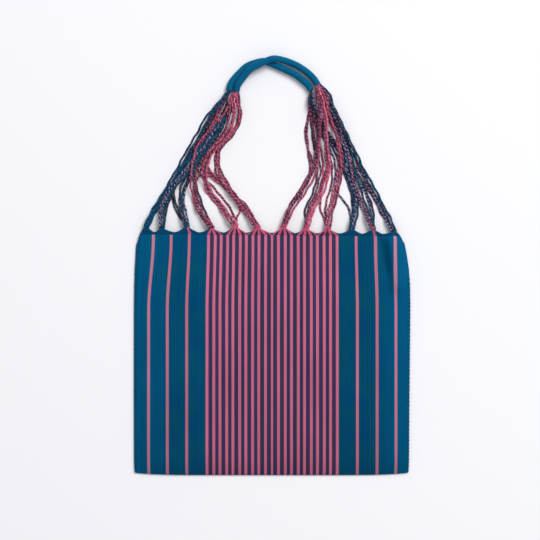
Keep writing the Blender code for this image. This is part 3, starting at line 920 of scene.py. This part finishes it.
class ClothGrid:
    """Places on the cloth, in rows from the mouth to the bottom fold and columns across."""

    def __init__(self):
        self.columns = cloth_columns()
        mouth = np.array([scallop.place(share) for scallop, share in self.columns])
        across = (mouth[:, 0] - LEFT_CORNER[0]) / (RIGHT_CORNER[0] - LEFT_CORNER[0])
        fold_y = FOLD_Y + CORNER_LIFT * np.abs(2 * across - 1) ** CORNER_SHARPNESS
        self.mouth_y = mouth[:, 1]
        self.weft = np.minimum([scallop.weft_y for scallop, _ in self.columns], self.mouth_y - LEAST_FAN)
        steps = (np.arange(MOUTH_ROWS) / MOUTH_ROWS)[:, None]
        shares = (np.arange(BODY_ROWS + 1) / BODY_ROWS)[:, None] ** ROW_POWER
        fan = self.mouth_y - (self.mouth_y - self.weft) * steps
        self.y = np.concatenate([fan, self.weft + (fold_y - self.weft) * shares])
        left, right = outline_at(self.y)
        self.x = left + (right - left) * across
        self.side = np.minimum(self.x - left, right - self.x)
        self.depth = self.mouth_y - self.y
        self.run = self.y - fold_y

    def threads(self):
        """Which warp thread passes each place, and how far out it lies in its half scallop."""
        warp, drawn = np.empty_like(self.x), np.empty_like(self.x)
        for index, (scallop, share) in enumerate(self.columns):
            y = self.y[:, index]
            fan = y > self.weft[index]
            warp[:, index] = np.where(fan, scallop.warp_here(share, y), warp_at(self.x[:, index], y))
            drawn[:, index] = np.where(fan, scallop.drawn(share, y), 0)
        return warp, drawn

    def pleats(self, drawn):
        pleats = PLEAT_HEIGHT * np.cos(2 * np.pi * PLEATS * np.minimum(drawn, 1))
        return pleats * np.exp(-self.depth / PLEAT_LENGTH) * np.minimum(self.depth / PLEAT_START, 1)

    def ripples(self):
        rng = random.Random(5)
        ripples = np.zeros_like(self.x)
        for _ in range(RIPPLES):
            across, along = rng.uniform(-0.05, 0.05), rng.uniform(-0.022, 0.022)
            height = rng.uniform(0.03, 0.09)
            ripples += height * np.sin(across * self.x + along * self.y + rng.uniform(0, 6.3))
        inset = smoothstep(self.side / RIPPLE_FADE) * smoothstep(self.run / RIPPLE_FADE)
        return ripples * inset * smoothstep(self.depth / RIPPLE_MOUTH_FADE)

    def layers(self, drawn):
        """Points of the lower and the upper layer."""
        air = air_height(self.x, self.y, self.side, self.run, self.depth)
        air += corner_fold(self.x, self.y, self.side, self.depth)
        upper_z = CLOTH_THICKNESS + air + self.pleats(drawn) + self.ripples()
        lower_z = np.full_like(self.x, CLOTH_THICKNESS)
        return [np.stack([self.x, self.y, z], -1) for z in (lower_z, upper_z)]

    def maps(self, warp, drawn):
        """UV maps, each with the numbers of the lower layer and of the upper one."""
        turned = np.array([scallop.gather in TURNED_UNDER for scallop, _ in self.columns])
        bare = drawn + BARE_SHARE * (turned & (self.y > self.weft))
        flat_x = (warp - STRAIGHT_LEFT) / STRAIGHT_WIDTH * 0.98 + 0.01
        flat_y = self.run / (self.mouth_y.max() - FOLD_Y) * 0.485
        maps = {
            "weave": ((warp, -self.run), (warp, self.run)),
            "mouth": ((bare, self.depth), (bare, self.depth)),
            "OFBake": ((flat_x, 0.49 - flat_y), (flat_x, 0.51 + flat_y)),
        }
        return {
            name: [np.stack(pair, -1).reshape(-1, 2) for pair in pairs] for name, pairs in maps.items()
        }


def turn_edges(lower, upper, points, maps):
    """The sewn sides and the bottom fold turn from the lower layer into the upper one."""
    rows, width = lower.shape[:2]
    border = [(row, 0) for row in range(rows - 1)]
    border += [(rows - 1, column) for column in range(width)]
    border += [(row, width - 1) for row in range(rows - 2, -1, -1)]
    chains = []
    count = 2 * rows * width
    for row, column in border:
        index = row * width + column
        chains.append([index, *range(count, count + EDGE_POINTS), rows * width + index])
        count += EDGE_POINTS
        low, high = lower[row, column], upper[row, column]
        out = np.array([(column == width - 1) - (column == 0), -(row == rows - 1), 0], float)
        out /= np.linalg.norm(out)
        gap = high[2] - low[2]
        for step in range(1, EDGE_POINTS + 1):
            share = step / (EDGE_POINTS + 1)
            turn = math.pi * step / (EDGE_POINTS + 1)
            point = low + out * (gap / 2 * math.sin(turn))
            point[2] = low[2] + gap * (1 - math.cos(turn)) / 2
            points.append(point[None])
            for kind in maps.values():
                a, b = (layer[index] for layer in kind[:2])
                kind.append((a + (b - a) * share)[None])
    return np.array(chains)


def quads_between(a, b):
    return np.stack([a[:, :-1], a[:, 1:], b[:, 1:], b[:, :-1]], -1).reshape(-1, 4)


def cloth_faces(rows, width, chains):
    """Faces of both layers, and of the strips that join them at the sides and the bottom."""
    index = np.arange(rows * width).reshape(rows, width)
    lower = quads_between(index[:-1], index[1:])
    strips = quads_between(chains[1:], chains[:-1])
    return np.concatenate([lower, lower[:, ::-1] + rows * width, strips])


def build_cloth(material):
    grid = ClothGrid()
    warp, drawn = grid.threads()
    lower, upper = grid.layers(drawn)
    maps = grid.maps(warp, drawn)
    points = [lower.reshape(-1, 3), upper.reshape(-1, 3)]
    chains = turn_edges(lower, upper, points, maps)
    cloth = mesh_object(
        "striped_cloth_body",
        np.concatenate(points),
        cloth_faces(*grid.x.shape, chains),
        material,
        layers=[(name, np.concatenate(kind)) for name, kind in maps.items()],
    )
    thickness = cloth.modifiers.new("cloth_thickness", "SOLIDIFY")
    thickness.thickness = CLOTH_THICKNESS * MM
    thickness.offset = 1
    thickness.use_even_offset = False
    return cloth


# ---- drawn threads and side stitches


def is_pink(warp):
    place = abs(warp)
    comb = abs((place + COMB_PITCH / 2) % COMB_PITCH - COMB_PITCH / 2) if place < COMB_HALF else FAR_OFF
    return min(comb, *(abs(place - stripe) for stripe in SINGLE_STRIPES)) < STRIPE_HALF


def thread_colour(warp, pink):
    ground = COMB_BLUE if abs(warp) < COMB_HALF else WIDE_BLUE
    return np.array((STRIPE_PINK if pink else ground)[:3])


def upper_face(x, y, depth):
    """Height of the cloth's upper face at places near the mouth."""
    left, right = outline_at(y)
    side = np.minimum(x - left, right - x)
    air = air_height(x, y, side, y - FOLD_Y, depth)
    return 2 * CLOTH_THICKNESS + air + corner_fold(x, y, side, depth)


def bundle_path(scallop, drawn):
    """The line of one bundle of warp threads from below the last weft to its gather."""
    rise = np.linspace(-BUNDLE_BELOW, 1.0, BUNDLE_STEPS)
    share = np.minimum(drawn * scallop.outermost(rise), 1)
    edge = np.array([scallop.place(value)[1] for value in share])
    y = np.minimum(scallop.weft_y + rise * (scallop.y - scallop.weft_y), edge - LEAST_FAN)
    x = scallop.x_at(share)
    # It comes out of the cloth, lies on it, and ends inside the cords
    out = smoothstep(np.linspace(0, 1, BUNDLE_STEPS) * 2.5)
    z = upper_face(x, y, edge - y) - 1.0 + 0.9 * out
    return np.stack([np.append(x, x[-1]), np.append(y, y[-1] + 3.0), np.append(z, z[-1] - 0.6)], -1)


def add_bundle(tubes, scallop, drawn, rng):
    warp = float(warp_at(scallop.x_at(drawn), scallop.weft_y))
    share = np.append(np.linspace(0, 1, BUNDLE_STEPS), 1.2)
    pink = is_pink(warp) and scallop.gather not in TURNED_UNDER
    thick = PINK_BUNDLE if pink else BLUE_BUNDLE
    radius = thick * np.interp(share, (0, 0.35, 0.85, 1.2), (0.7, 1.0, 0.85, 0.6))
    deep = np.interp(share, (0, 0.3, 1.0), (1.0, 0.9, 0.95)) * rng.uniform(0.8, 1.15)
    colour = thread_colour(warp, pink) * deep[:, None]
    if pink:
        towards = smoothstep(share * 1.6)[:, None]
        colour = colour * (1 - towards) + np.array(YARNS["P"]) * deep[:, None] * towards
    tubes.add(bundle_path(scallop, drawn), radius, THREAD_SIDES, colour)


def build_fans(material):
    """Bundles of warp threads that lie on the cloth and are drawn together at each gather."""
    tubes = Tubes()
    rng = random.Random(3)
    for gather in range(1, len(GATHERS) + 1):
        for side in (-1, 1):
            scallop = Scallop(gather, side)
            count = max(4, round(abs(scallop.middle_x - scallop.x) / BUNDLE_WIDTH))
            for bundle in range(count):
                add_bundle(tubes, scallop, (bundle + 0.5) / count, rng)
    return tubes.build("gathered_warp", material)


def build_stitches(material):
    """Thread sewn over both sides of the pocket."""
    tubes = Tubes()
    rng = random.Random(8)
    for side, pitch, radius, proud, last_y in STITCHES:
        y = FOLD_Y + 5
        while y < last_y:
            left, right = outline_at(y)
            edge = left if side < 0 else right
            reach = rng.uniform(2.6, 3.6)
            lean = rng.uniform(0.6, 1.8)
            out = proud + rng.uniform(-0.1, 0.25)
            inner = edge - side * reach
            top = upper_face(inner, y, 60.0)
            line = [
                (inner, y + lean, top - 0.3),
                (edge - side * reach * 0.45, y + lean * 0.6, top - 0.35),
                (edge + side * 1.2, y + lean * 0.2, 3.45),
                (edge + side * (1.75 + out), y, 1.9),
                (edge + side * 1.1, y - lean * 0.3, 0.55),
                (edge - side * reach * 0.5, y - lean * 0.6, 0.5),
                (inner, y - lean, 0.8),
            ]
            path = curve_array(smooth_curve(line, STITCH_STEP))
            shade = rng.uniform(0.6, 1.1)
            colour = [shade * value for value in STITCH_BLUE]
            tubes.add(path, radius * rng.uniform(0.85, 1.15), THREAD_SIDES, colour, up=(0, 1, 0))
            y += pitch * rng.uniform(0.85, 1.15)
    return tubes.build("side_stitches", material)


# ---- cords


def waver(run, wave, turns):
    """A slow irregular change along a cord, within about -1 to 1."""
    total = np.zeros_like(run)
    for part in (1.0, 0.63, 0.37):
        total += np.sin(2 * np.pi * run / (WAVES[wave] * part) + turns.uniform(0, 6.3))
    return total / 2.2


def ply_colour(yarns, ply, run, turns):
    """A yarn's colour along a cord, with parts of its neighbour's colour and pale flecks."""
    letter = yarns[ply]
    own, other = np.array(YARNS[letter]), np.array(YARNS[yarns[(ply + 1) % PLIES]])
    mixed = np.clip(waver(run, "mix", turns) * 2.0 - 0.9, 0, 0.9)[:, None]
    shade = (0.90 + 0.54 * waver(run, "shade", turns))[:, None]
    most = 0 if letter == "B" else MOST_PALE
    pale = np.clip(waver(run, "pale", turns) * 2.4 - 1.4, 0, most)[:, None]
    fleck = np.array(YARNS["L"] if letter in "PL" else PALE_FLECK)
    return (own * (1 - mixed) + other * mixed) * shade * (1 - pale) + fleck * pale


def add_cord(tubes, path, yarns, turns):
    """Three yarns twisted round one path, tighter here and looser there."""
    path = curve_array(smooth_curve(path, PLY_STEP))
    side, _ = frames_along(path, UP)
    run = run_along(path)
    fade = smoothstep(np.minimum(run, run[-1] - run) / WANDER_FADE)
    path = path + side * (WANDER * waver(run, "place", turns) * fade)[:, None]
    side, square = frames_along(path, UP)
    thin = np.interp(run[-1] - run, (0, 6, 16), (THINNER_END, THINNER_END, 1.0))
    thin = thin * (1 + 0.07 * waver(run, "girth", turns))
    phase = turns.uniform(0, 6.3) + 0.9 * waver(run, "twist", turns)
    pitch = turns.uniform(*TWIST_PITCHES)
    for ply in range(PLIES):
        turn = 2 * np.pi * (run / pitch + ply / PLIES) + phase
        offset = side * np.cos(turn)[:, None] + square * np.sin(turn)[:, None]
        centre = path + offset * (PLY_OFFSET * thin)[:, None] * np.array((1, 1, CORD_FLATNESS))
        colour = ply_colour(yarns, ply, run, turns)
        radius = PLY_RADIUS * thin * (1 + 0.10 * waver(run, "ply", turns))
        tubes.add(centre, radius, PLY_SIDES, colour, flatness=PLY_FLATNESS)


def foot_points(web, root, number):
    """Where a cord comes out of the cloth, before its web."""
    lift = Vector((0, 0, web.middle_z + FOOT_LIFTS[number % 2]))
    return [
        web.foot - web.lean * 2.2 + web.across * (root * FOOT_PITCH) + lift,
        web.foot + web.lean * 2.4 + web.across * (root * (FOOT_PITCH + CORD_PITCH) / 2) + lift,
    ]


def tip_points(head, index):
    """Where a cord enters its handle, and where it ends inside."""
    offset = sideways(head.into_handle) * (head.column(index) * TIP_PITCH)
    offset = offset + Vector((0, 0, (head.row(index) - 1.5) * TIP_ROW_PITCH))
    return [
        head.tip + offset - head.into_handle * 2.0,
        head.tip + offset * 0.85 + head.into_handle * 4.0,
    ]


def strap_cords(material):
    """One piece for each strap. Its cords are laid from the lowest row up, each over those below."""
    laid = LaidCords()
    sway = random.Random(SWAY_SEED)
    turns = random.Random(4)
    pieces = []
    for name, bunches, route, end, neck in STRAPS:
        front = name.startswith("front")
        totals, cords = plan_bunches(bunches)
        gathers = {gather: Gather(gather, bunches, front) for gather in totals}
        head = Head(cords, front, route, end, neck)
        tubes = Tubes()
        for index in sorted(range(len(cords)), key=head.row):
            gather, number, root, spread, stations = cords[index]
            web = gathers[gather]
            plan = cord_plan(root, spread, stations, web, head.slot(index), sway)
            path = lay_cord(plan, web.middle_z, FIRST_ROW_Z + head.row(index) * ROW_PITCH, laid)
            whole = foot_points(web, root, number) + path + tip_points(head, index)
            yarns = CORD_YARNS[gather][0 if front else 1].split()
            add_cord(tubes, whole, yarns[number], turns)
        for gather, web in gathers.items():
            letter = CORD_YARNS[gather][0].split()[1][0]
            add_binding(tubes, web, letter, totals[gather], turns)
        pieces.append((name, tubes.build(name + "_cords", material)))
    return pieces


def add_binding(tubes, web, letter, cords, turns):
    """Two or three turns of thread round the foot of a gather's cords."""
    half_width = 1.9 + 0.55 * cords
    count = turns.choice((2.2, 2.6))
    slant = turns.uniform(-0.8, 0.8)
    angle = np.linspace(0, 2 * np.pi * count, int(16 * count)) + turns.uniform(0, 3)
    along = np.linspace(0, BINDING_RISE * count, len(angle)) + 0.2
    side, lean = np.array(web.across), np.array(web.lean)
    path = (
        np.array(web.foot)
        + np.array((0, 0, web.middle_z))
        + lean * along[:, None]
        + side * (half_width * np.cos(angle))[:, None]
        + lean * (slant * np.cos(angle))[:, None]
        + UP * (BINDING_HALF_HEIGHT * np.sin(angle))[:, None]
    )
    colour = [0.9 * value for value in YARNS[letter]]
    tubes.add(path, BINDING_RADIUS, THREAD_SIDES, colour, up=web.lean)


# ---- handles


def build_handle(name, route, material):
    """A handle: thread wound closely round a core, flattened a little where it lies on the floor."""
    path = curve_array(handle_line(route, WINDING_STEP))
    run = run_along(path)
    turn = 2 * np.pi * np.arange(WINDING_SIDES) / WINDING_SIDES
    groove = np.abs(np.sin(np.pi * (run[:, None] / WINDING_PITCH + turn / (2 * np.pi))))
    swell = WOUND_RADIUS + 0.10 * np.sin(run / 17.0) + 0.06 * np.sin(run / 5.3 + 1)
    swell = swell * (0.80 + 0.20 * smoothstep((np.minimum(run, run[-1] - run) + 0.4) / 1.6))
    radius = swell[:, None] + WINDING_DEPTH * groove**0.7
    tubes = Tubes()
    # Painted shade: the winding is darker in the grooves between its turns
    tubes.add(path, radius, WINDING_SIDES, (0.72 + 0.42 * groove)[..., None] * np.array(HANDLE_BLUE))
    return tubes.build(name, material)


# ---- scene


def build_floor():
    material = Nodes("floor").finish(FLOOR_WHITE, 0.9, specular=0)
    points = [(x * FLOOR_HALF, y * FLOOR_HALF, 0) for x, y in ((-1, -1), (1, -1), (1, 1), (-1, 1))]
    mesh_object("floor", points, [(0, 1, 2, 3)], material)


def add_light():
    light = bpy.data.lights.new("key", "AREA")
    light.size = KEY_SIZE
    light.energy = KEY_POWER
    light.color = KEY_WHITE
    obj = link("key", light)
    obj.location = KEY_PLACE
    obj.rotation_euler = (-Vector(KEY_PLACE)).to_track_quat("-Z", "Y").to_euler()


def add_camera():
    camera = bpy.data.cameras.new("camera")
    camera.lens = camera.sensor_width * CAMERA_HEIGHT / SEEN_WIDTH
    camera.clip_end = 50
    bpy.context.scene.camera = link("camera", camera)
    bpy.context.scene.camera.location = CAMERA_PLACE


def main():
    scene = bpy.context.scene
    scene.view_settings.view_transform = "Standard"
    scene.view_settings.look = "None"
    add_camera()
    world = bpy.data.worlds.new("studio")
    world.use_nodes = True
    sky = world.node_tree.nodes["Background"].inputs
    sky["Color"].default_value = SKY_WHITE
    sky["Strength"].default_value = SKY_POWER
    scene.world = world
    add_light()
    build_floor()

    cloth = build_cloth(striped_cloth())
    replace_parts(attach(cloth, "root"), "bag_body")
    cotton = yarn("twisted_cotton", 0.00012, 0.10, 0.82)
    fans = build_fans(cotton)
    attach(fans, "root")
    stitches = build_stitches(cotton)
    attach(stitches, "root")
    for name, cords in strap_cords(cotton):
        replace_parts(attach(cords, "root"), name)
    winding = yarn("wound_cotton", 0.00008, 0.06, 0.68)
    for name, route in (("front_handle", FRONT_HANDLE), ("back_handle", BACK_HANDLE)):
        handle = build_handle(name + "_winding", route, winding)
        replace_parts(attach(handle, "root"), name)


main()
